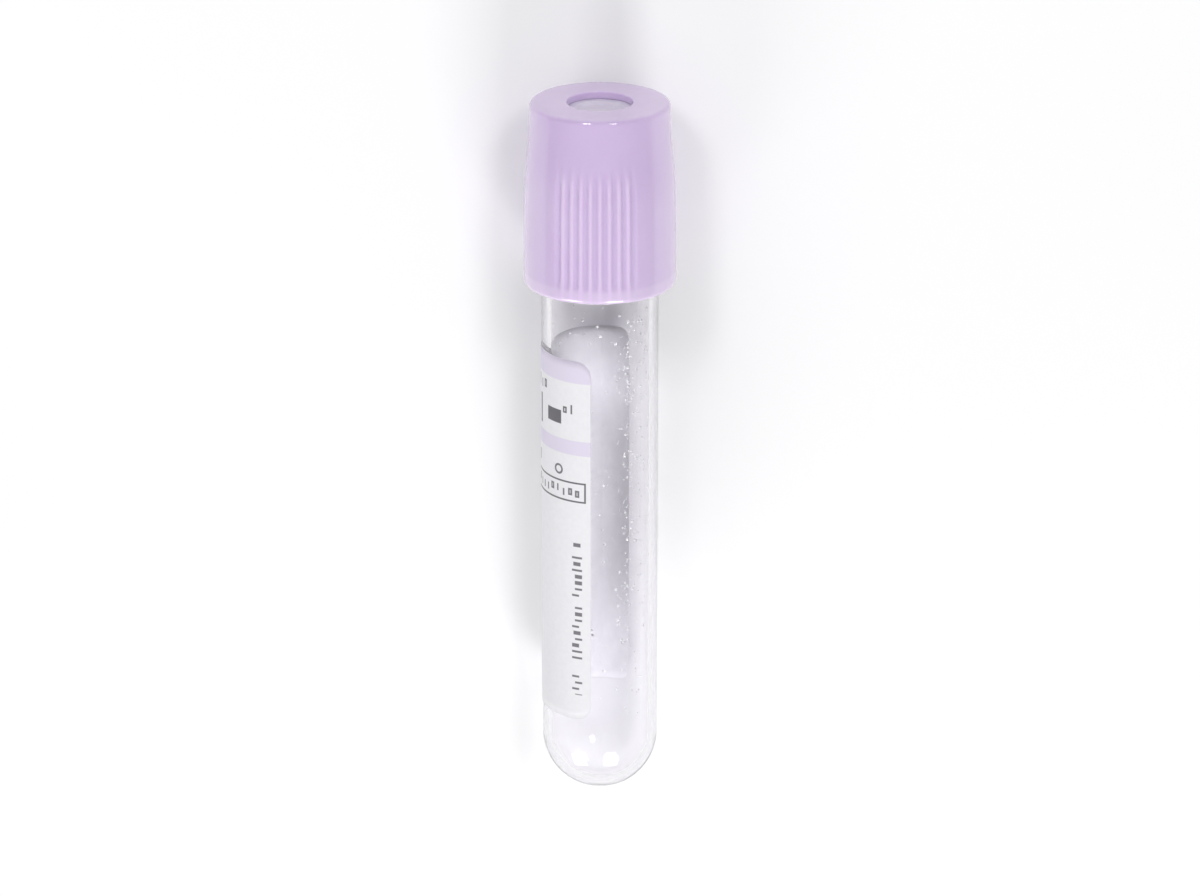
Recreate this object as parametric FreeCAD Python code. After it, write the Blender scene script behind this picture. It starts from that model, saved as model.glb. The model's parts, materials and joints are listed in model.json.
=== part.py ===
import FreeCAD, Part
import math
import os

# Evacuated blood collection tube: a clear round-bottomed tube, a wrapped label, and a push-on closure
# made of a plastic cap that carries a rubber stopper.
# Everything is modelled upright, with the tube's axis on +Z and its bottom at the origin, and is then
# laid on its side, because a round-bottomed tube can't stand. Outlines are lists of (radius, height).

Vector = FreeCAD.Vector
ORIGIN = Vector(0, 0, 0)
UP = Vector(0, 0, 1)

# Driving dimensions: millimetres, and degrees for angles.
# Angles are measured from the side that faces up at rest, positive towards +X.

# Tube
tube_length = 75.0
tube_outer_r = 6.5
tube_wall = 1.0
tube_floor = 1.1
rim_bevel = 0.25

# Label
label_thickness = 0.1
label_height = 43.0
label_below_rim = 21.5
label_wrap = 207.0
label_edge_angle = -9.0
label_corner_r = 1.7

# Cap: its walls are measured outwards from the pocket that holds the stopper's flange
cap_height = 20.7
cap_above_rim = 6.5
cap_top_wall = 0.72
cap_shoulder_wall = 0.8
cap_shoulder_depth = 3.4
cap_waist_wall = 1.32
cap_waist_depth = 9.0
cap_mouth_wall = 1.47
cap_top_bevel = 0.26
lip_bevel = 0.7
lip_height = 1.7
plate_thickness = 0.85
needle_hole_r = 3.6
needle_hole_bevel = 0.15
skirt_clearance = 0.65
mouth_inner_bevel = 0.3
snap_ring_clearance = 0.22
snap_ring_height = 0.8
pocket_clearance = 0.05

# Grip ribs: groups of upright ribs, left between flutes that run out where the cap narrows
rib_groups = 3
rib_group_angle = -3.7
ribs_per_group = 8
rib_pitch = 7.3
flute_floor_wall = 0.95
flute_floor_width = 0.3
flute_flank_angle = 30.0

# Stopper
plug_depth = 10.5
plug_clearance = 0.05
plug_waist = 0.25
plug_lead = 0.9
bead_count = 3
bead_height = 1.5
bead_flank = 0.25
flange_overhang = 0.45
flange_thickness = 2.3
flange_bevel = 0.3
head_inset = 0.65
well_r = 3.1
well_depth = 7.0
well_bevel = 0.9
dish_r = 2.8
dish_depth = 0.35

# Sizes that follow from the driving dimensions
bore_r = tube_outer_r - tube_wall
cap_top_z = tube_length + cap_above_rim
cap_mouth_z = cap_top_z - cap_height
plate_under_z = cap_top_z - plate_thickness
flange_r = tube_outer_r + flange_overhang
pocket_r = flange_r + pocket_clearance
cap_top_r = pocket_r + cap_top_wall
cap_shoulder_r = pocket_r + cap_shoulder_wall
cap_waist_r = pocket_r + cap_waist_wall
cap_mouth_r = pocket_r + cap_mouth_wall
flute_floor_r = pocket_r + flute_floor_wall
skirt_inner_r = tube_outer_r + skirt_clearance
label_r = tube_outer_r + label_thickness


def turned(corners):
    """A solid turned about the tube's axis from a closed outline of straight sides."""
    points = [Vector(r, 0, z) for r, z in corners]
    return Part.Face(Part.makePolygon(points + points[:1])).revolve(ORIGIN, UP, 360)


def turned_to(shape, angle):
    """A copy of a shape that faces +X, turned about the axis to an angle from the up-facing side."""
    copy = shape.copy()
    copy.rotate(ORIGIN, UP, angle - 90)
    return copy


def ring_sector(inner_r, outer_r, low, high, span):
    """Part of a ring, centred on the direction +X."""
    base = Vector(0, 0, low)
    wedge = Part.makeCylinder(outer_r, high - low, base, UP, span)
    wedge.rotate(ORIGIN, UP, -span / 2)
    return wedge.cut(Part.makeCylinder(inner_r, high - low, base, UP))


def round_bottom(radius, low):
    """Section of a hemispherical bottom: a quarter circle from the axis out to the wall of that radius."""
    middle = Vector(radius * math.sin(math.pi / 4), 0, low + radius * (1 - math.cos(math.pi / 4)))
    return Part.Arc(Vector(0, 0, low), middle, Vector(radius, 0, low + radius)).toShape()


def make_tube():
    """Round-bottomed tube, turned from one section whose rim is bevelled on both sides."""
    wall = [
        (tube_outer_r, tube_outer_r),
        (tube_outer_r, tube_length - rim_bevel),
        (tube_outer_r - rim_bevel, tube_length),
        (bore_r + rim_bevel, tube_length),
        (bore_r, tube_length - rim_bevel),
        (bore_r, tube_floor + bore_r),
    ]
    section = Part.Wire([
        round_bottom(tube_outer_r, 0),
        *Part.makePolygon([Vector(r, 0, z) for r, z in wall]).Edges,
        round_bottom(bore_r, tube_floor),
        Part.makeLine(Vector(0, 0, tube_floor), ORIGIN),
    ])
    return Part.Face(section).revolve(ORIGIN, UP, 360)


def label_corner(side, end):
    """Cutter for a label corner facing +X, its arc centred at height zero; side and end are 1 or -1."""
    reach = 1.5 * label_corner_r
    block = Part.makeBox(2 * label_corner_r, reach, reach)
    block.translate(Vector(label_r - label_corner_r, min(0, side * reach), min(0, end * reach)))
    arc_start = Vector(label_r - 2 * label_corner_r, 0, 0)
    return block.cut(Part.makeCylinder(label_corner_r, 4 * label_corner_r, arc_start, Vector(1, 0, 0)))


def make_label():
    """Sheet wrapped part of the way round the tube, with its four corners rounded."""
    high = tube_length - label_below_rim
    low = high - label_height
    sheet = ring_sector(tube_outer_r, label_r, low, high, label_wrap)
    inset = math.degrees(math.asin(label_corner_r / label_r))
    for side in (1, -1):
        for end, height in ((1, high - label_corner_r), (-1, low + label_corner_r)):
            cutter = label_corner(side, end)
            cutter.translate(Vector(0, 0, height))
            cutter.rotate(ORIGIN, UP, side * (label_wrap / 2 - inset))
            sheet = sheet.cut(cutter)
    return turned_to(sheet, label_edge_angle - label_wrap / 2)


def make_flute_cutter():
    """Cutter for one group of upright flutes facing +X, each with a flat floor and two sloping flanks."""
    half_floor = flute_floor_width / 2
    slope = math.tan(math.radians(flute_flank_angle))
    half_pitch = math.tan(math.radians(rib_pitch / 2))
    apex = (flute_floor_r * slope - half_floor) / (slope - half_pitch)
    reach = 1.5 * cap_mouth_r
    spread = half_floor + (reach - flute_floor_r) * slope
    last = ribs_per_group / 2 * rib_pitch
    low = cap_mouth_z + lip_height

    def corner(x, y, angle):
        return FreeCAD.Rotation(UP, angle).multVec(Vector(x, y, low))

    corners = [corner(reach, -spread, -last)]
    for i in range(ribs_per_group + 1):
        angle = i * rib_pitch - last
        corners.append(corner(flute_floor_r, -half_floor, angle))
        corners.append(corner(flute_floor_r, half_floor, angle))
        if i < ribs_per_group:
            corners.append(corner(apex, apex * half_pitch, angle))
    corners.append(corner(reach, spread, last))
    section = Part.makePolygon(corners + corners[:1])
    return Part.Face(section).extrude(UP * (cap_height - lip_height))


def make_cap():
    """Moulded shield: top plate with a needle hole, pocket and snap ring for the stopper, ribbed skirt."""
    snap_r = tube_outer_r + snap_ring_clearance
    snap_low = tube_length - snap_ring_height
    cap = turned([
        (needle_hole_r, cap_top_z - needle_hole_bevel),
        (needle_hole_r + needle_hole_bevel, cap_top_z),
        (cap_top_r - cap_top_bevel, cap_top_z),
        (cap_top_r, cap_top_z - cap_top_bevel),
        (cap_shoulder_r, cap_top_z - cap_shoulder_depth),
        (cap_waist_r, cap_top_z - cap_waist_depth),
        (cap_mouth_r, cap_mouth_z + lip_bevel),
        (cap_mouth_r - lip_bevel, cap_mouth_z),
        (skirt_inner_r + mouth_inner_bevel, cap_mouth_z),
        (skirt_inner_r, cap_mouth_z + mouth_inner_bevel),
        (skirt_inner_r, snap_low - snap_ring_height),
        (snap_r, snap_low),
        (snap_r, tube_length),
        (pocket_r, tube_length),
        (pocket_r, plate_under_z),
        (needle_hole_r, plate_under_z),
    ])
    flutes = make_flute_cutter()
    return cap.cut([turned_to(flutes, rib_group_angle + i * 360 / rib_groups) for i in range(rib_groups)])


def make_stopper():
    """Rubber stopper: flange on the tube's rim, beaded plug in its bore, hollow below, dished above."""
    bead_r = bore_r - plug_clearance
    waist_r = bead_r - plug_waist
    plug_low = tube_length - plug_depth
    head_r = flange_r - head_inset
    bead_pitch = (plug_depth - plug_lead) / bead_count
    outline = [
        (0, plug_low + well_depth),
        (well_r - well_bevel, plug_low + well_depth),
        (well_r, plug_low + well_depth - well_bevel),
        (well_r, plug_low),
        (waist_r - plug_lead / 2, plug_low),
    ]
    for i in range(bead_count):
        low = plug_low + plug_lead + i * bead_pitch
        outline += [
            (waist_r, low),
            (bead_r, low + bead_flank),
            (bead_r, low + bead_height - bead_flank),
            (waist_r, low + bead_height),
        ]
    outline += [
        (waist_r, tube_length),
        (flange_r, tube_length),
        (flange_r, tube_length + flange_thickness - flange_bevel),
        (flange_r - flange_bevel, tube_length + flange_thickness),
        (head_r, tube_length + flange_thickness),
        (head_r, plate_under_z),
        (dish_r, plate_under_z),
        (dish_r - dish_depth, plate_under_z - dish_depth),
        (0, plate_under_z - dish_depth),
    ]
    return turned(outline)


def resting_tilt():
    """Angle at which the edge of the cap's lip and the tube's round bottom touch one floor."""
    rise = cap_mouth_z + lip_bevel - tube_outer_r
    reach = math.hypot(cap_mouth_r, rise)
    return math.degrees(math.acos(tube_outer_r / reach) - math.atan2(rise, cap_mouth_r))


def main():
    nodes = {
        "tube": make_tube(),
        "label": make_label(),
        "cap": make_cap(),
        "stopper": make_stopper(),
    }
    lying = FreeCAD.Rotation(Vector(1, 0, 0), resting_tilt() - 90)
    for shape in nodes.values():
        shape.Placement = FreeCAD.Placement(ORIGIN, lying).multiply(shape.Placement)
    box = Part.makeCompound(list(nodes.values())).optimalBoundingBox(False, False)
    to_origin = Vector(-box.Center.x, -box.Center.y, -box.ZMin)
    os.makedirs("parts", exist_ok=True)
    for name, shape in nodes.items():
        shape.translate(to_origin)
        shape.exportStep(f"parts/{name}.step")
        print(name, shape.isValid(), len(shape.Solids), round(shape.Volume, 3))
    print("tilt", resting_tilt(), "moved", tuple(to_origin), "size", box.XLength, box.YLength, box.ZLength)


main()
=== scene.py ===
"""Evacuated blood collection tube, lying on its side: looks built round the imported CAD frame.

The object's lengths are in millimetres, and become metres where its vertices are placed. Those of the stage
and of the materials' textures are in metres from the start.
A place on the tube is (radius, turn, height): height runs from the tube's bottom towards its cap, and turn is
the angle in degrees from the side that faces up at rest, positive towards +X.
"""

import json
import math
import random

import bmesh
import bpy
from mathutils import Matrix, Vector

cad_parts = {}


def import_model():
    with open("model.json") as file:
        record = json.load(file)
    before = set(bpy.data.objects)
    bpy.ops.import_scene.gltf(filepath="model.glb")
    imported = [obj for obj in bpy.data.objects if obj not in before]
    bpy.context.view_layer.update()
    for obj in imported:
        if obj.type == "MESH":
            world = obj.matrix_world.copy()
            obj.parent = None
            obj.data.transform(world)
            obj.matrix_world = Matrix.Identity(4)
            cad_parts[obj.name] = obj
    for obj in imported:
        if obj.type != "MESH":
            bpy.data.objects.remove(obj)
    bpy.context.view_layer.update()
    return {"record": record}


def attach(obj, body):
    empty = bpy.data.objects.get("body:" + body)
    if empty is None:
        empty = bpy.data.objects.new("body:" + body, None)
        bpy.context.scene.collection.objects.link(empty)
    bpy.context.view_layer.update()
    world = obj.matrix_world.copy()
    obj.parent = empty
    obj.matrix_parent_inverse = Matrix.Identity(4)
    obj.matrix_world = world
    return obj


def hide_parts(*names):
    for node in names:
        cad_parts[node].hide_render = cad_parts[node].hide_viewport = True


MM = 0.001

# Tube
TUBE_LENGTH = 75.0
TUBE_R = 6.5
BORE_R = TUBE_R - 1.0
TUBE_FLOOR = 1.1
RIM_ROUND = 0.35
RIM_BAND = 5.0
RIM_SLACK = 0.01
BOTTOM_STEPS = 28
GATE_R = 0.55
GATE_EDGE_R = 0.8
GATE_DEPTH = 0.07

# Cap: its walls are measured outwards from the pocket that holds the stopper's flange
FLANGE_R = TUBE_R + 0.45
POCKET_R = FLANGE_R + 0.05
CAP_TOP = TUBE_LENGTH + 6.5
CAP_MOUTH = CAP_TOP - 20.7
CAP_TOP_R = POCKET_R + 0.72
CAP_SHOULDER_R = POCKET_R + 0.8
CAP_SHOULDER = CAP_TOP - 3.4
CAP_WAIST_R = POCKET_R + 1.32
CAP_WAIST = CAP_TOP - 9.0
CAP_MOUTH_R = POCKET_R + 1.47
PLATE_UNDER = CAP_TOP - 0.85
NEEDLE_HOLE_R = 3.6
NEEDLE_PORT = CAP_TOP - 0.5
SKIRT_R = TUBE_R + 0.65
SNAP_R = TUBE_R + 0.22
SNAP_LOW = TUBE_LENGTH - 0.8
SNAP_SLOPE_LOW = SNAP_LOW - 0.8

# Roundings of the corners of the cap's outline
HOLE_ROUND = 0.2
HOLE_UNDER_ROUND = 0.15
TOP_EDGE_ROUND = 0.6
WALL_ROUND = 60
LIP_ROUND = 0.75
SKIRT_ROUND = 0.3
SNAP_ROUND = 0.2
POCKET_ROUND = 0.1
POCKET_TOP_ROUND = 0.3

# Grip ribs: groups of upright ribs left between flutes, and the mesh columns that show them
RIB_GROUPS = 3
RIB_GROUP_TURN = -3.7
FLUTES = 9
RIB_PITCH = 7.3
FLUTE_FLOOR_R = POCKET_R + 0.95
FLUTE_DEPTH = 0.27
LIP_TOP = CAP_MOUTH + 1.7
FLUTE_START = LIP_TOP - 0.15
FLUTE_FULL = LIP_TOP + 0.35
RIBS_WHOLE = CAP_WAIST + 1.0
RIBS_GONE = CAP_WAIST + 3.6
COLUMNS_PER_FLUTE = 12
PLAIN_COLUMNS = 18

# Stopper: its flange keeps a hair's gap from the tube's rim, so that the two surfaces don't coincide
PLUG_LOW = TUBE_LENGTH - 10.5
PLUG_LEAD = 0.45
BEAD_R = BORE_R - 0.06
PLUG_WAIST_R = BEAD_R - 0.24
BEADS = 3
BEAD_LOW = PLUG_LOW + 0.9
BEAD_PITCH = 3.2
BEAD_HEIGHT = 1.5
BEAD_FLANK = 0.25
HEAD_R = FLANGE_R - 0.65
FLANGE_TOP = TUBE_LENGTH + 2.3
FLANGE_UNDER = TUBE_LENGTH + 0.01
WELL_R = 3.1
WELL_TOP = PLUG_LOW + 7.0
DISH_R = 2.8
DISH_DEPTH = 0.35

# Roundings of the corners of the stopper's outline
DISH_ROUND = 0.3
DISH_EDGE_ROUND = 0.25
HEAD_ROUND = 0.3
HEAD_ROOT_ROUND = 0.2
FLANGE_ROUND = 0.35
FLANGE_UNDER_ROUND = 0.15
PLUG_ROOT_ROUND = 0.2
BEAD_ROUND = 0.4
BEAD_ROOT_ROUND = 0.15
PLUG_END_ROUND = 0.3
WELL_ROUND = 0.9

# Longest step along an outline, and the radius below which a point of it is a pole on the axis
CAP_STEP = 0.55
STOPPER_STEP = 0.8
POLE_R = 1e-6

# Dried additive: fine specks, thickest in one band of turns. Two powers shape the chances: one below 1
# crowds the specks towards the cap, and one above 1 leaves most of them small.
SPECKS = 1200
SPECK_SEED = 7
SPECK_BAND_SHARE = 0.45
SPECK_BAND_TURN = 38
SPECK_BAND_SPREAD = 10
SPECK_LOW = 9
SPECK_RANGE = 50
SPECK_HEIGHT_POWER = 0.7
SPECK_R_LEAST = 0.05
SPECK_R_MORE = 0.15
SPECK_R_POWER = 3
SPECK_FLATNESS = 0.4
SPECK_SINK = 0.012
SPECK_SHAKE = 0.01

# Label
LABEL_IN_R = TUBE_R + 0.03
LABEL_OUT_R = TUBE_R + 0.1
LABEL_TOP = TUBE_LENGTH - 21.5
LABEL_HEIGHT = 43.0
LABEL_WRAP = 207.0
LABEL_RIGHT = -9.0
LABEL_CORNER = 1.7
LABEL_WIDTH = LABEL_OUT_R * math.radians(LABEL_WRAP)
LABEL_COLUMNS = 84
CORNER_COLUMNS = 8
LABEL_ROWS = 48
PRINT_EDGE = 0.04

# Rows of marks on the label. A mark's chance makes it a gap below the first value, a hollow box above the
# second, and a bar between them. Another chance shifts it by a part of the row's height, up or down.
GAP_BELOW = 0.1
BOX_ABOVE = 0.62
SHIFTED_SHARE = 0.3
MARK_SHIFT = 0.15

# Stage, in metres, apart from the height on the tube that the camera and the lamps aim at
AIM_HEIGHT = 41.0
CAMERA_RISE = 21
CAMERA_DISTANCE = 0.545
CAMERA_LENS = 146
FLOOR_SIZE = 6.0
FLOOR_LIFT = 0.06
SKY_LOW = 0.43
SKY_HIGH = 0.51
SKY_FULL_FROM = 0.75

# Lamps: name, turn and rise in degrees, then distance, width, length and watts
LAMPS = [
    ("key_lamp_left", -24, 39, 0.6, 0.1, 0.16, 0.62),
    ("key_lamp_right", 24, 39, 0.6, 0.1, 0.16, 0.58),
    ("side_lamp_left", -50, -46, 0.8, 0.3, 0.3, 1.7),
    ("side_lamp_right", 26, -46, 0.8, 0.3, 0.3, 2.5),
]


# Colours


def colour(red, green, blue):
    """An sRGB colour, each part 0 to 255, as the linear colour that a shader takes."""
    parts = [c / 255 for c in (red, green, blue)]
    linear = [c / 12.92 if c <= 0.04045 else ((c + 0.055) / 1.055) ** 2.4 for c in parts]
    return (*linear, 1.0)


LILAC = colour(208, 186, 225)
# Painted light: a paler lilac for the lower skirt, as if lit from below, and for the lip, paler partly for
# its thin wall and partly by painted light
LILAC_THIN_WALL_AND_PAINTED_LIGHT = colour(218, 199, 231)
LILAC_DEEP = colour(203, 179, 221)
# Painted highlight on the ribs' crests
LILAC_CREST_HIGHLIGHT = colour(225, 203, 238)
RUBBER = colour(220, 214, 229)
RUBBER_DARK = colour(210, 203, 220)
PAPER = colour(234, 233, 237)
PAPER_GREY = colour(231, 230, 234)
# Painted light: the label's inner side is paler than its paper, standing in for light that the tube's inside
# lacks
PAPER_BACK_PAINTED_LIGHT = colour(250, 249, 251)
BAND = colour(221, 214, 232)
STRIP = colour(229, 212, 232)
INK = colour(104, 102, 108)
INK_SOFT = colour(118, 116, 122)
CLEAR = colour(254, 253, 255)
RIM_GREY = colour(224, 224, 229)
DRIED = colour(240, 240, 243)
LAMP_TINT = colour(253, 253, 254)
DEPTH_TINT = colour(196, 194, 200)
FLOOR = colour(240, 240, 241)
FLOOR_PALE = colour(243, 243, 244)


# Places on the tube


def measure_axes(record):
    """The tube's bottom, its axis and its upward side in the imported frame, in metres."""
    port = next(m for m in record["mounts"] if m["name"] == "needle_port")
    along = Vector(port["axis"]).normalized()
    bottom = Vector(port["pos_m"]) - along * NEEDLE_PORT * MM
    up = Vector((0, -along.z, along.y))
    return bottom, along, up


class Place:
    """Turns (radius, turn, height) in millimetres and degrees into a point of the frame in metres."""

    def __init__(self, record):
        self.bottom, self.along, self.up = measure_axes(record)
        self.side = Vector((1, 0, 0))

    def __call__(self, radius, turn, height):
        angle = math.radians(turn)
        outward = self.up * math.cos(angle) + self.side * math.sin(angle)
        return self.bottom + (outward * radius + self.along * height) * MM


# Outlines


def rounded(corners, steps=6):
    """An outline of (radius, height) points from corners of (radius, height, fillet radius)."""
    outline = []
    count = len(corners)
    for i, (r, h, fillet) in enumerate(corners):
        here = Vector((r, h))
        if not fillet:
            outline.append((r, h))
            continue
        before = Vector(corners[i - 1][:2]) - here
        after = Vector(corners[(i + 1) % count][:2]) - here
        outline += fillet_points(here, before, after, fillet, steps)
    return outline


def fillet_points(corner, before, after, fillet, steps):
    """Points of the arc that rounds a corner, at most as far as half of each side."""
    half = before.angle(after) / 2
    reach = min(fillet / math.tan(half), 0.49 * before.length, 0.49 * after.length)
    start = corner + before.normalized() * reach
    end = corner + after.normalized() * reach
    points = []
    for k in range(steps + 1):
        t = k / steps
        p = start * (1 - t) ** 2 + corner * 2 * t * (1 - t) + end * t ** 2
        points.append((p.x, p.y))
    return points


def divided(outline, longest):
    """The outline with its long sides divided, so that no step is over the given length."""
    result = []
    for (r0, h0), (r1, h1) in zip(outline, outline[1:] + outline[:1]):
        steps = max(1, math.ceil(math.hypot(r1 - r0, h1 - h0) / longest))
        result += [(r0 + (r1 - r0) * k / steps, h0 + (h1 - h0) * k / steps) for k in range(steps)]
    return result


# Meshes


def new_object(name, vertices, faces, material):
    """A smooth shaded mesh object in the frame, with one material."""
    mesh = bpy.data.meshes.new(name)
    mesh.from_pydata([tuple(v) for v in vertices], [], faces)
    for polygon in mesh.polygons:
        polygon.use_smooth = True
    mesh.materials.append(material)
    made = bpy.data.objects.new(name, mesh)
    bpy.context.scene.collection.objects.link(made)
    return made


def lathe(name, outline, turns, place, material, radius_at=None):
    """A closed solid turned about the axis from an outline, with poles where the radius is zero.

    radius_at(radius, height, turn) may move a point in or out, for ribs.
    """
    rings, vertices = lathe_rings(outline, turns, place, radius_at)
    faces, corners = lathe_faces(rings)
    made = new_object(name, vertices, faces, material)
    add_turn_map(made, corners, turns, outline)
    face_outwards(made)
    return made


def lathe_rings(outline, turns, place, radius_at):
    """For each point of the outline its ring of vertex numbers, and the vertices of all the rings."""
    rings, vertices = [], []
    for r, h in outline:
        start = len(vertices)
        if r < POLE_R:
            rings.append([start] * len(turns))
            vertices.append(place(0, 0, h))
            continue
        rings.append(list(range(start, start + len(turns))))
        for turn in turns:
            vertices.append(place(radius_at(r, h, turn) if radius_at else r, turn, h))
    return rings, vertices


def lathe_faces(rings):
    """The faces between neighbouring rings, and the column and row of each of their corners."""
    faces, corners = [], []
    columns = len(rings[0])
    for i, ring in enumerate(rings):
        after = rings[(i + 1) % len(rings)]
        if ring[0] == ring[1] and after[0] == after[1]:
            continue
        for j in range(columns):
            k = (j + 1) % columns
            ends = [(ring[j], j, i), (after[j], j, i + 1), (after[k], j + 1, i + 1), (ring[k], j + 1, i)]
            kept = [e for n, e in enumerate(ends) if e[0] != ends[n - 1][0]]
            faces.append([e[0] for e in kept])
            corners += [(e[1], e[2]) for e in kept]
    return faces, corners


def face_outwards(made):
    """Turns every face of a closed mesh to the outside, where glass and volumes need it."""
    mesh = bmesh.new()
    mesh.from_mesh(made.data)
    bmesh.ops.recalc_face_normals(mesh, faces=mesh.faces)
    mesh.to_mesh(made.data)
    mesh.free()


def add_turn_map(made, corners, turns, outline):
    """A turned piece's UV map: the turn as a share of a circle, the height as a share of the cap's top."""
    layer = made.data.uv_layers.new(name="turn_height")
    full = list(turns) + [turns[0] + 360]
    heights = [h for _, h in outline] + [outline[0][1]]
    for loop, (column, row) in zip(layer.data, corners):
        loop.uv = ((full[column] - full[0]) / 360, heights[row] / CAP_TOP)


def even_turns(count):
    """Equally spaced turns round the axis."""
    return [360 * i / count for i in range(count)]


# Materials


class Shades:
    """One node material: a Principled shader and short calls that add nodes to it."""

    def __init__(self, name, **settings):
        self.material = bpy.data.materials.new(name)
        self.material.use_nodes = True
        self.tree = self.material.node_tree
        self.shader = self.tree.nodes["Principled BSDF"]
        for socket, value in settings.items():
            self.shader.inputs[socket.replace("_", " ")].default_value = value

    def add(self, kind, settings=None, **inputs):
        """A new node, with its settings and its inputs, which are values or other nodes' outputs."""
        made = self.tree.nodes.new(kind)
        for name, value in (settings or {}).items():
            setattr(made, name, value)
        for name, value in inputs.items():
            self.join(value, made.inputs[name.replace("_", " ")])
        return made

    def join(self, value, socket):
        """A value or an output into a socket."""
        if isinstance(value, bpy.types.NodeSocket):
            self.tree.links.new(value, socket)
        else:
            socket.default_value = value

    def math(self, operation, *values):
        """A Math node's output."""
        made = self.tree.nodes.new("ShaderNodeMath")
        made.operation = operation
        for value, socket in zip(values, made.inputs):
            self.join(value, socket)
        return made.outputs[0]

    def mix(self, share, first, second):
        """A blend of two colours."""
        made = self.tree.nodes.new("ShaderNodeMix")
        made.data_type = "RGBA"
        self.join(share, made.inputs["Factor"])
        self.join(first, made.inputs[6])
        self.join(second, made.inputs[7])
        return made.outputs[2]

    def noise(self, scale, detail=3.0):
        """Noise from 0 to 1 with features of about 1 / scale metres."""
        here = self.add("ShaderNodeTexCoord").outputs["Object"]
        return self.add("ShaderNodeTexNoise", Vector=here, Scale=scale, Detail=detail).outputs[0]

    def between(self, value, low, high, first=0.0, last=1.0):
        """A value's place between low and high, as a smooth step from first to last."""
        made = self.add("ShaderNodeMapRange", {"interpolation_type": "SMOOTHSTEP"})
        for socket, number in zip(made.inputs, (value, low, high, first, last)):
            self.join(number, socket)
        return made.outputs[0]

    def bump(self, height, distance, strength=1.0):
        """A bump from a height field into the shader, the distance in metres."""
        made = self.add("ShaderNodeBump", Height=height, Distance=distance, Strength=strength)
        self.tree.links.new(made.outputs[0], self.shader.inputs["Normal"])

    def absorb(self, tint, density):
        """Darkens what is seen through the material, by the length of the way through it."""
        made = self.add("ShaderNodeVolumeAbsorption", Color=tint, Density=density)
        self.tree.links.new(made.outputs[0], self.tree.nodes["Material Output"].inputs["Volume"])

    def let_lamps_through(self, tint):
        """Glass that lamps shine through, with a faint shadow."""
        path = self.add("ShaderNodeLightPath").outputs["Is Shadow Ray"]
        open_way = self.add("ShaderNodeBsdfTransparent", Color=tint).outputs[0]
        both = self.tree.nodes.new("ShaderNodeMixShader")
        for value, socket in zip((path, self.shader.outputs[0], open_way), both.inputs):
            self.join(value, socket)
        self.tree.links.new(both.outputs[0], self.tree.nodes["Material Output"].inputs["Surface"])

    def uv(self, name):
        """The two parts of a named UV map."""
        split = self.add("ShaderNodeSeparateXYZ")
        self.tree.links.new(self.add("ShaderNodeUVMap", {"uv_map": name}).outputs[0], split.inputs[0])
        return split.outputs[0], split.outputs[1]

    def feed(self, socket, value):
        """An output into one of the shader's sockets."""
        self.join(value, self.shader.inputs[socket])


# The crests' share carries the cap's painted highlight.
def crest_share(m, turn_share, height):
    """How near a rib's crest a point of the cap's wall lies, from 0 to 1.

    The UV map's turns start at the first column of a group of ribs, so its groups repeat from there.
    """
    group_share = m.math("FRACT", m.math("MULTIPLY", turn_share, RIB_GROUPS))
    step = m.math("MULTIPLY", group_share, 360 / RIB_GROUPS / RIB_PITCH)
    wave = m.math("COSINE", m.math("MULTIPLY", step, 2 * math.pi))
    away = m.math("ABSOLUTE", m.math("SUBTRACT", step, FLUTES / 2))
    on_ribs = m.math("LESS_THAN", away, (FLUTES - 1) / 2)
    run_out = m.between(height, RIBS_GONE, RIBS_WHOLE)
    return m.math("MULTIPLY", m.math("MULTIPLY", m.between(wave, -0.3, 1.0), on_ribs), run_out)


def cap_material():
    """Satin lilac plastic, faintly mottled: painted light pales the lower skirt and the lip, which is
    thin-walled too, and the ribs' crests carry a painted highlight.
    """
    m = Shades(
        "lilac_satin_plastic",
        IOR=1.49,
        Subsurface_Weight=0.3,
        Subsurface_Scale=0.0012,
        Subsurface_Radius=(1.0, 0.7, 1.0),
        Coat_Weight=1.0,
        Coat_Roughness=0.06,
        Coat_IOR=1.7,
    )
    turn_share, height_share = m.uv("turn_height")
    height = m.math("MULTIPLY", height_share, CAP_TOP)
    mottle = m.between(m.noise(140, 4), 0.35, 0.65, 0.0, 0.5)
    body = m.mix(mottle, LILAC, LILAC_DEEP)
    # Painted light: the skirt pales downwards as if lit from below; the lip pales for its thin wall and by
    # painted light
    skirt = m.between(height, CAP_SHOULDER - 1.0, CAP_WAIST - 2.0, 0.0, 0.3)
    lip = m.between(height, LIP_TOP + 0.4, LIP_TOP - 0.5)
    shaded = m.mix(m.math("MAXIMUM", skirt, lip), body, LILAC_THIN_WALL_AND_PAINTED_LIGHT)
    # Painted highlight: the ribs' crests are lightened towards a paler lilac
    crest = m.math("MULTIPLY", crest_share(m, turn_share, height), 0.8)
    m.feed("Base Color", m.mix(crest, shaded, LILAC_CREST_HIGHLIGHT))
    m.feed("Roughness", m.between(m.noise(900), 0.2, 0.8, 0.3, 0.42))
    m.bump(m.noise(5200, 2), 0.00001, 0.35)
    return m.material


def rubber_material():
    """Pale matt rubber with a faint bloom."""
    m = Shades("pale_rubber", IOR=1.5, Subsurface_Weight=0.1, Subsurface_Scale=0.001)
    bloom = m.between(m.noise(420, 4), 0.3, 0.7)
    m.feed("Base Color", m.mix(bloom, RUBBER_DARK, RUBBER))
    m.feed("Roughness", m.between(m.noise(1300), 0.25, 0.75, 0.5, 0.68))
    m.bump(m.noise(6500, 3), 0.000012, 0.5)
    return m.material


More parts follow.
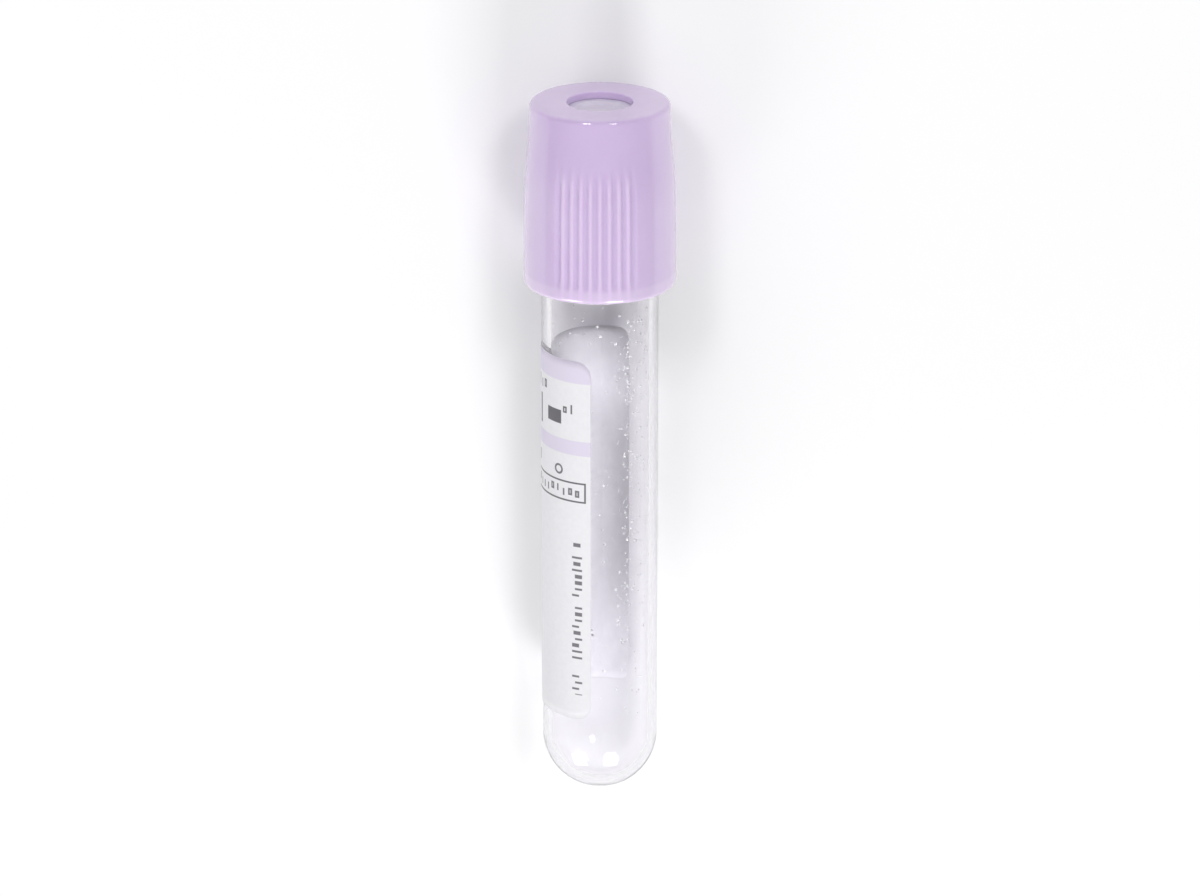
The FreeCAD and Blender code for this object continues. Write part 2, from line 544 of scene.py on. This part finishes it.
def clear_material():
    """Clear moulded plastic: almost colourless, with a slight unevenness of gloss and of surface."""
    m = Shades("clear_plastic", IOR=1.5, Transmission_Weight=1.0, Base_Color=CLEAR)
    m.feed("Roughness", m.between(m.noise(260), 0.3, 0.7, 0.02, 0.05))
    m.bump(m.noise(210, 1), 0.00003, 0.25)
    m.absorb(DEPTH_TINT, 85.0)
    m.let_lamps_through(LAMP_TINT)
    return m.material


def rim_material():
    """The tube's moulded rim, slightly frosted."""
    m = Shades("frosted_rim", IOR=1.5, Transmission_Weight=0.35)
    m.feed("Base Color", m.mix(m.noise(900), CLEAR, RIM_GREY))
    m.feed("Roughness", m.between(m.noise(700), 0.3, 0.7, 0.25, 0.4))
    return m.material


def droplet_material():
    """Dried additive: small whitish specks."""
    m = Shades("dried_additive", IOR=1.45)
    m.feed("Base Color", m.mix(m.noise(2600), CLEAR, DRIED))
    m.feed("Roughness", m.between(m.noise(3100), 0.2, 0.8, 0.25, 0.5))
    return m.material


def paper_finish(m):
    """The faint fibre and the half gloss of coated paper."""
    m.feed("Roughness", m.between(m.noise(1500, 4), 0.3, 0.7, 0.42, 0.56))
    m.bump(m.noise(3800, 4), 0.000008, 0.5)


def label_back_material():
    """The label's plain inner side, seen through the tube's wall, in a paler paper colour as painted light.
    """
    m = Shades("label_back", IOR=1.45)
    fibre = m.between(m.noise(900, 5), 0.3, 0.7, 0.0, 0.4)
    m.feed("Base Color", m.mix(fibre, PAPER_BACK_PAINTED_LIGHT, PAPER))
    paper_finish(m)
    return m.material


class Print:
    """Flat shapes printed on the label, placed in millimetres from its left edge and below its top edge."""

    def __init__(self, shades):
        self.m = shades
        across, along = shades.uv("sheet")
        self.x = shades.math("MULTIPLY", across, LABEL_WIDTH)
        self.y = shades.math("MULTIPLY_ADD", along, -LABEL_HEIGHT, LABEL_HEIGHT)

    def off(self, value, middle):
        """Distance from a middle line."""
        return self.m.math("ABSOLUTE", self.m.math("SUBTRACT", value, middle))

    def cover(self, distance):
        """How much ink lies at a signed distance from a shape's edge."""
        return self.m.between(distance, PRINT_EDGE, -PRINT_EDGE)

    def box_distance(self, left, right, top, bottom):
        """Signed distance from a box's edge, negative inside."""
        m = self.m
        beside = m.math("SUBTRACT", self.off(self.x, (left + right) / 2), (right - left) / 2)
        above = m.math("SUBTRACT", self.off(self.y, (top + bottom) / 2), (bottom - top) / 2)
        return m.math("MAXIMUM", beside, above)

    def box(self, left, right, top, bottom):
        """A filled box."""
        return self.cover(self.box_distance(left, right, top, bottom))

    def frame(self, left, right, top, bottom, line):
        """A box's outline."""
        distance = self.m.math("ABSOLUTE", self.box_distance(left, right, top, bottom))
        return self.cover(self.m.math("SUBTRACT", distance, line / 2))

    def ring(self, x, y, radius, line):
        """A circle's outline."""
        m = self.m
        across = m.math("POWER", self.off(self.x, x), 2.0)
        down = m.math("POWER", self.off(self.y, y), 2.0)
        away = m.math("SQRT", m.math("ADD", across, down))
        distance = m.math("ABSOLUTE", m.math("SUBTRACT", away, radius))
        return self.cover(m.math("SUBTRACT", distance, line / 2))

    def marks(self, left, right, top, bottom, pitch, line, seed, upright=False):
        """A row of plain marks that spell nothing: bars and small hollow boxes, with a gap here and there."""
        m = self.m
        along, start = (self.y, top) if upright else (self.x, left)
        beside, low, high = (self.x, left, right) if upright else (self.y, top, bottom)
        run = m.math("DIVIDE", m.math("SUBTRACT", along, start), pitch)
        cell = m.math("ADD", m.math("FLOOR", run), seed * 17.0)
        chance = m.add("ShaderNodeTexWhiteNoise", {"noise_dimensions": "1D"}, W=cell).outputs["Value"]
        aside = m.math("MULTIPLY", self.off(m.math("FRACT", run), 0.5), pitch)
        outline = self.mark_outline(chance, aside, beside, low, high, pitch, line)
        gap = m.math("LESS_THAN", chance, GAP_BELOW)
        return m.math("MULTIPLY", self.cover(m.math("ADD", outline, gap)), self.box(left, right, top, bottom))

    def mark_outline(self, chance, aside, beside, low, high, pitch, line):
        """Signed distance from one mark's lines. Its chance settles its width, its height and its place."""
        m = self.m
        tall = high - low
        lot = m.math("FRACT", m.math("MULTIPLY", chance, 7.0))
        wide = m.math("GREATER_THAN", chance, BOX_ABOVE)
        raised = m.math("GREATER_THAN", lot, 1 - SHIFTED_SHARE)
        shift = m.math("SUBTRACT", raised, m.math("LESS_THAN", lot, SHIFTED_SHARE))
        short = m.math("MAXIMUM", wide, m.math("ABSOLUTE", shift))
        half_width = m.math("MULTIPLY_ADD", wide, 0.3 * pitch - line / 2, line / 2)
        half_height = m.math("MULTIPLY_ADD", short, -MARK_SHIFT * tall, tall / 2)
        middle = m.math("MULTIPLY_ADD", shift, MARK_SHIFT * tall, (low + high) / 2)
        past_side = m.math("SUBTRACT", aside, half_width)
        past_end = m.math("SUBTRACT", self.off(beside, middle), half_height)
        box = m.math("MAXIMUM", past_side, past_end)
        return m.math("SUBTRACT", m.math("ABSOLUTE", m.math("ADD", box, line / 2)), line / 2)

    def sum(self, *covers):
        """Several shapes in one ink."""
        total = covers[0]
        for more in covers[1:]:
            total = self.m.math("MAXIMUM", total, more)
        return total


def label_material():
    """White coated paper with a lilac band and stripe, a margin strip, and rows of plain marks and shapes."""
    m = Shades("printed_paper", IOR=1.45)
    p = Print(m)
    right = LABEL_WIDTH
    bands = p.sum(p.box(-1, right + 1, -1, 2.6), p.box(-1, right + 1, 9.4, 11.1))
    strip = p.sum(p.box(-1, 2.2, 5.1, 14.7), p.box(-1, 2.2, 16.7, 29.8), p.box(-1, 2.2, 31.5, 44))
    dark = p.sum(
        p.marks(5.0, 17.0, 5.2, 8.7, 2.0, 0.5, 1),
        p.box(17.9, 20.2, 6.1, 7.7),
        p.marks(20.3, 22.0, 5.2, 6.3, 0.85, 0.2, 9),
        p.box(-1, 2.1, 4.0, 4.4),
        p.frame(4.5, 7.1, 14.4, 16.6, 0.2),
        p.ring(10.1, 15.5, 1.2, 0.2),
        p.frame(13.3, 23.2, 14.4, 16.6, 0.2),
    )
    soft = p.sum(
        p.marks(8.3, 17.8, 3.0, 4.4, 0.95, 0.24, 2),
        p.marks(5.0, 17.3, 12.0, 13.9, 1.23, 0.3, 3),
        p.ring(19.8, 13.1, 0.5, 0.24),
        p.marks(5.0, 6.6, 14.9, 16.1, 0.8, 0.2, 4),
        p.box(9.8, 10.4, 15.1, 15.9),
        p.marks(14.0, 22.7, 14.9, 16.1, 0.87, 0.22, 5),
        p.marks(21.6, 22.85, 21.4, 40.0, 0.76, 0.25, 6, upright=True),
    )
    paper = m.mix(m.between(m.noise(1800, 4), 0.3, 0.7), PAPER, PAPER_GREY)
    toned = m.mix(strip, m.mix(bands, paper, BAND), STRIP)
    m.feed("Base Color", m.mix(dark, m.mix(soft, toned, INK_SOFT), INK))
    paper_finish(m)
    return m.material


# Pieces


def flute(turn):
    """How deep a turn lies in the grip's flutes, from 0 on a rib or on plain wall to 1 on a flute's floor."""
    for group in range(RIB_GROUPS):
        middle = RIB_GROUP_TURN + group * 360 / RIB_GROUPS
        away = (turn - middle + 180) % 360 - 180
        step = away / RIB_PITCH
        if abs(step) <= FLUTES / 2:
            return 0.5 + 0.5 * math.cos(2 * math.pi * step)
    return 0.0


def eased(value, low, high):
    """A smooth step from 0 at low to 1 at high."""
    t = min(1, max(0, (value - low) / (high - low)))
    return t * t * (3 - 2 * t)


def cap_turns():
    """Turns for the cap's columns, close together on the ribs."""
    turns = []
    half = FLUTES / 2 * RIB_PITCH
    fine = FLUTES * COLUMNS_PER_FLUTE
    plain = 360 / RIB_GROUPS - 2 * half
    for group in range(RIB_GROUPS):
        middle = RIB_GROUP_TURN + group * 360 / RIB_GROUPS
        turns += [middle - half + 2 * half * i / fine for i in range(fine)]
        turns += [middle + half + plain * i / PLAIN_COLUMNS for i in range(PLAIN_COLUMNS)]
    return turns


def cap_outline():
    """The cap's section: outer wall, lip, skirt, snap ring, pocket, top plate and needle hole."""
    outer = [
        (NEEDLE_HOLE_R, CAP_TOP, HOLE_ROUND),
        (CAP_TOP_R, CAP_TOP, TOP_EDGE_ROUND),
        (CAP_SHOULDER_R, CAP_SHOULDER, WALL_ROUND),
        (CAP_WAIST_R, CAP_WAIST, WALL_ROUND),
        (CAP_MOUTH_R, CAP_MOUTH, LIP_ROUND),
    ]
    inner = [
        (SKIRT_R, CAP_MOUTH, SKIRT_ROUND),
        (SKIRT_R, SNAP_SLOPE_LOW, SKIRT_ROUND),
        (SNAP_R, SNAP_LOW, SNAP_ROUND),
        (SNAP_R, TUBE_LENGTH, POCKET_ROUND),
        (POCKET_R, TUBE_LENGTH, POCKET_ROUND),
        (POCKET_R, PLATE_UNDER, POCKET_TOP_ROUND),
        (NEEDLE_HOLE_R, PLATE_UNDER, HOLE_UNDER_ROUND),
    ]
    return divided(rounded(outer + inner), CAP_STEP)


def make_cap(place):
    """The moulded cap with its grip ribs."""

    def fluted(r, h, turn):
        if r < FLUTE_FLOOR_R or h < FLUTE_START:
            return r
        depth = min(r - FLUTE_FLOOR_R, FLUTE_DEPTH) * eased(h, FLUTE_START, FLUTE_FULL)
        return r - depth * flute(turn)

    made = lathe("cap_skin", cap_outline(), cap_turns(), place, cap_material(), fluted)
    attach(made, "closure")
    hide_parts("cap")


def stopper_outline():
    """The stopper's section: dished top, head, flange, beaded plug and the well below."""
    corners = [
        (0, PLATE_UNDER - DISH_DEPTH, 0),
        (DISH_R - DISH_DEPTH, PLATE_UNDER - DISH_DEPTH, DISH_ROUND),
        (DISH_R, PLATE_UNDER, DISH_EDGE_ROUND),
        (HEAD_R, PLATE_UNDER, HEAD_ROUND),
        (HEAD_R, FLANGE_TOP, HEAD_ROOT_ROUND),
        (FLANGE_R, FLANGE_TOP, FLANGE_ROUND),
        (FLANGE_R, FLANGE_UNDER, FLANGE_UNDER_ROUND),
        (PLUG_WAIST_R, FLANGE_UNDER, PLUG_ROOT_ROUND),
    ]
    for i in reversed(range(BEADS)):
        low = BEAD_LOW + i * BEAD_PITCH
        high = low + BEAD_HEIGHT
        corners += [
            (PLUG_WAIST_R, high, BEAD_ROOT_ROUND),
            (BEAD_R, high - BEAD_FLANK, BEAD_ROUND),
            (BEAD_R, low + BEAD_FLANK, BEAD_ROUND),
            (PLUG_WAIST_R, low, BEAD_ROOT_ROUND),
        ]
    corners += [
        (PLUG_WAIST_R - PLUG_LEAD, PLUG_LOW, PLUG_END_ROUND),
        (WELL_R, PLUG_LOW, PLUG_END_ROUND),
        (WELL_R, WELL_TOP, WELL_ROUND),
        (0, WELL_TOP, 0),
    ]
    return divided(rounded(corners, 5), STOPPER_STEP)


def make_stopper(place):
    """The rubber stopper, seen through the cap's hole."""
    made = lathe("stopper_skin", stopper_outline(), even_turns(96), place, rubber_material())
    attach(made, "closure")
    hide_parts("stopper")


def tube_outline():
    """The tube's section: outer bottom with a shallow gate mark, rounded rim, and the bore's bottom."""
    outside = [(0, GATE_DEPTH), (GATE_R, GATE_DEPTH)]
    quarter = [math.pi / 2 * i / BOTTOM_STEPS for i in range(BOTTOM_STEPS + 1)]
    for angle in quarter:
        if TUBE_R * math.sin(angle) > GATE_EDGE_R:
            outside.append((TUBE_R * math.sin(angle), TUBE_R * (1 - math.cos(angle))))
    below = TUBE_LENGTH - RIM_BAND
    rim = rounded([
        (TUBE_R, below, 0),
        (TUBE_R, TUBE_LENGTH, RIM_ROUND),
        (BORE_R, TUBE_LENGTH, RIM_ROUND),
        (BORE_R, below, 0),
    ])
    inside = []
    for angle in reversed(quarter):
        inside.append((BORE_R * math.sin(angle), TUBE_FLOOR + BORE_R * (1 - math.cos(angle))))
    return outside + rim + inside


def make_tube(place):
    """The clear round-bottomed tube, with its rim frosted."""
    made = lathe("tube_skin", tube_outline(), even_turns(128), place, clear_material())
    made.data.materials.append(rim_material())
    heights = made.data.uv_layers["turn_height"].data
    rim_low = (TUBE_LENGTH - RIM_ROUND - RIM_SLACK) / CAP_TOP
    for polygon in made.data.polygons:
        if min(heights[i].uv.y for i in polygon.loop_indices) > rim_low:
            polygon.material_index = 1
    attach(made, "tube_body")
    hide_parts("tube")


def label_columns():
    """Distances across the label from its left edge, in millimetres, closer together in its corners."""
    quarter = [math.pi / 2 * i / CORNER_COLUMNS for i in range(CORNER_COLUMNS + 1)]
    near = [LABEL_CORNER * (1 - math.cos(angle)) for angle in quarter]
    plain = LABEL_WIDTH - 2 * LABEL_CORNER
    middle = [LABEL_CORNER + plain * i / LABEL_COLUMNS for i in range(1, LABEL_COLUMNS)]
    return near + middle + [LABEL_WIDTH - d for d in reversed(near)]


def label_end(distance):
    """How far a label's rounded corner pulls its top or bottom edge in, at a distance from the side edge."""
    away = min(distance, LABEL_WIDTH - distance)
    if away >= LABEL_CORNER:
        return 0.0
    return LABEL_CORNER - math.sqrt(LABEL_CORNER ** 2 - (LABEL_CORNER - away) ** 2)


def make_label(place):
    """The wrapped label: a printed outer side and a plain inner side, joined round the edge."""
    columns = label_columns()
    rows = [i / LABEL_ROWS for i in range(LABEL_ROWS + 1)]
    vertices, places = [], []
    for radius in (LABEL_OUT_R, LABEL_IN_R):
        for x in columns:
            pull = label_end(x)
            for share in rows:
                y = pull + (LABEL_HEIGHT - 2 * pull) * share
                turn = LABEL_RIGHT - LABEL_WRAP * (1 - x / LABEL_WIDTH)
                vertices.append(place(radius, turn, LABEL_TOP - y))
                places.append((x / LABEL_WIDTH, 1 - y / LABEL_HEIGHT))
    faces, sides = label_faces(len(columns), len(rows))
    made = new_object("label_skin", vertices, faces, label_material())
    made.data.materials.append(label_back_material())
    layer = made.data.uv_layers.new(name="sheet")
    for polygon, side in zip(made.data.polygons, sides):
        polygon.material_index = side
        for loop in polygon.loop_indices:
            layer.data[loop].uv = places[made.data.loops[loop].vertex_index]
    face_outwards(made)
    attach(made, "tube_body")
    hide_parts("label")


def label_faces(columns, rows):
    """The sheet's faces, and for each 0 on the printed side or 1 on the plain side and the edge."""
    faces, sides = [], []
    back = columns * rows
    for i in range(columns - 1):
        for j in range(rows - 1):
            a, b = i * rows + j, (i + 1) * rows + j
            faces += [[a, a + 1, b + 1, b], [back + a, back + b, back + b + 1, back + a + 1]]
            sides += [0, 1]
    rim = list(range(rows))
    rim += [i * rows + rows - 1 for i in range(1, columns)]
    rim += [(columns - 1) * rows + j for j in reversed(range(rows - 1))]
    rim += [i * rows for i in reversed(range(1, columns - 1))]
    for a, b in zip(rim, rim[1:] + rim[:1]):
        faces.append([a, back + a, back + b, b])
        sides.append(1)
    return faces, sides


def droplet(centre, normal, radius, height, rings=2, sides=7):
    """Vertices and faces of one small dome on the bore."""
    first = normal.orthogonal().normalized()
    second = normal.cross(first)
    vertices, faces = [], []
    for k in range(rings):
        lean = math.pi / 2 * k / rings
        for i in range(sides):
            angle = 2 * math.pi * i / sides
            flat = (first * math.cos(angle) + second * math.sin(angle)) * radius * math.cos(lean)
            vertices.append(centre + flat + normal * height * math.sin(lean))
    vertices.append(centre + normal * height)
    for k in range(rings - 1):
        for i in range(sides):
            j = (i + 1) % sides
            faces.append([k * sides + i, k * sides + j, (k + 1) * sides + j, (k + 1) * sides + i])
    low = (rings - 1) * sides
    faces += [[low + i, low + (i + 1) % sides, rings * sides] for i in range(sides)]
    faces.append(list(reversed(range(sides))))
    return vertices, faces


def make_droplets(place):
    """The dried additive, sprayed on the bore as fine specks, thickest in one band."""
    chance = random.Random(SPECK_SEED)
    vertices, faces = [], []
    for _ in range(SPECKS):
        if chance.random() < SPECK_BAND_SHARE:
            turn = chance.gauss(SPECK_BAND_TURN, SPECK_BAND_SPREAD)
        else:
            turn = chance.uniform(-180, 180)
        height = SPECK_LOW + SPECK_RANGE * chance.random() ** SPECK_HEIGHT_POWER
        radius = SPECK_R_LEAST + SPECK_R_MORE * chance.random() ** SPECK_R_POWER
        outward = (place(1, turn, 0) - place(0, turn, 0)).normalized()
        centre = place(BORE_R - SPECK_SINK, turn, height)
        dome, sides = droplet(centre, -outward, radius * MM, SPECK_FLATNESS * radius * MM)
        start = len(vertices)
        for point in dome:
            shake = chance.uniform(-SPECK_SHAKE, SPECK_SHAKE)
            vertices.append(point + place.along * shake * MM)
        faces += [[start + i for i in face] for face in sides]
    made = new_object("additive_specks", vertices, faces, droplet_material())
    face_outwards(made)
    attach(made, "tube_body")


# Stage


def make_floor():
    """A plain pale floor that reads white where it is lit and keeps the object's shadow."""
    bpy.ops.mesh.primitive_plane_add(size=FLOOR_SIZE)
    floor = bpy.context.object
    floor.name = "floor"
    m = Shades("pale_floor", Roughness=0.9, Specular_IOR_Level=0.1)
    m.feed("Base Color", m.mix(m.between(m.noise(6, 2), 0.3, 0.7), FLOOR, FLOOR_PALE))
    seen = m.add("ShaderNodeLightPath").outputs
    share = m.math("MAXIMUM", seen["Is Camera Ray"], seen["Is Glossy Ray"])
    share = m.math("MAXIMUM", share, seen["Is Transmission Ray"])
    m.shader.inputs["Emission Color"].default_value = (1, 1, 1, 1)
    m.feed("Emission Strength", m.math("MULTIPLY", share, FLOOR_LIFT))
    floor.data.materials.append(m.material)


def make_world():
    """A plain studio: white overhead, greyer towards the horizon."""
    world = bpy.data.worlds.new("surround")
    bpy.context.scene.world = world
    world.use_nodes = True
    tree = world.node_tree
    split = tree.nodes.new("ShaderNodeSeparateXYZ")
    tree.links.new(tree.nodes.new("ShaderNodeTexCoord").outputs["Generated"], split.inputs[0])
    graded = tree.nodes.new("ShaderNodeMapRange")
    graded.interpolation_type = "SMOOTHSTEP"
    graded.inputs["From Min"].default_value = 0.0
    graded.inputs["From Max"].default_value = SKY_FULL_FROM
    graded.inputs["To Min"].default_value = SKY_LOW
    graded.inputs["To Max"].default_value = SKY_HIGH
    tree.links.new(split.outputs[2], graded.inputs["Value"])
    background = tree.nodes["Background"]
    background.inputs["Color"].default_value = (1, 1, 1, 1)
    tree.links.new(graded.outputs[0], background.inputs["Strength"])


def facing(place, turn, rise):
    """Axes of a lamp or camera that looks at the tube: turned about its axis, and raised towards the cap."""
    tilt = math.radians(rise)
    out = (place(1, turn, 0) - place(0, 0, 0)).normalized()
    back = out * math.cos(tilt) + place.along * math.sin(tilt)
    upward = place.along * math.cos(tilt) - out * math.sin(tilt)
    return Matrix((upward.cross(back), upward, back)).transposed().to_4x4()


def stand(place, thing, axes, distance):
    """Puts a lamp or camera into the scene, at a distance in metres from the height on the axis aimed at."""
    away = axes.col[2].to_3d() * distance
    thing.matrix_world = Matrix.Translation(place(0, 0, AIM_HEIGHT) + away) @ axes
    bpy.context.scene.collection.objects.link(thing)


def add_lamp(place, name, turn, rise, distance, width, length, watts):
    """A soft rectangular lamp, its length running the tube's way."""
    data = bpy.data.lights.new(name, "AREA")
    data.shape = "RECTANGLE"
    data.size = width
    data.size_y = length
    data.energy = watts
    stand(place, bpy.data.objects.new(name, data), facing(place, turn, rise), distance)


def add_camera(place):
    """A camera that looks at the lying tube as at one that stands upright, from above its middle."""
    data = bpy.data.cameras.new("camera")
    data.lens = CAMERA_LENS
    data.clip_start = 0.01
    data.clip_end = 20
    camera = bpy.data.objects.new("camera", data)
    stand(place, camera, facing(place, 0, CAMERA_RISE), CAMERA_DISTANCE)
    bpy.context.scene.camera = camera


def main():
    """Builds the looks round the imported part, then the stage."""
    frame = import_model()
    place = Place(frame["record"])
    make_cap(place)
    make_stopper(place)
    make_tube(place)
    make_label(place)
    make_droplets(place)
    make_floor()
    make_world()
    for lamp in LAMPS:
        add_lamp(place, *lamp)
    add_camera(place)
    bpy.context.scene.view_settings.view_transform = "Standard"


main()
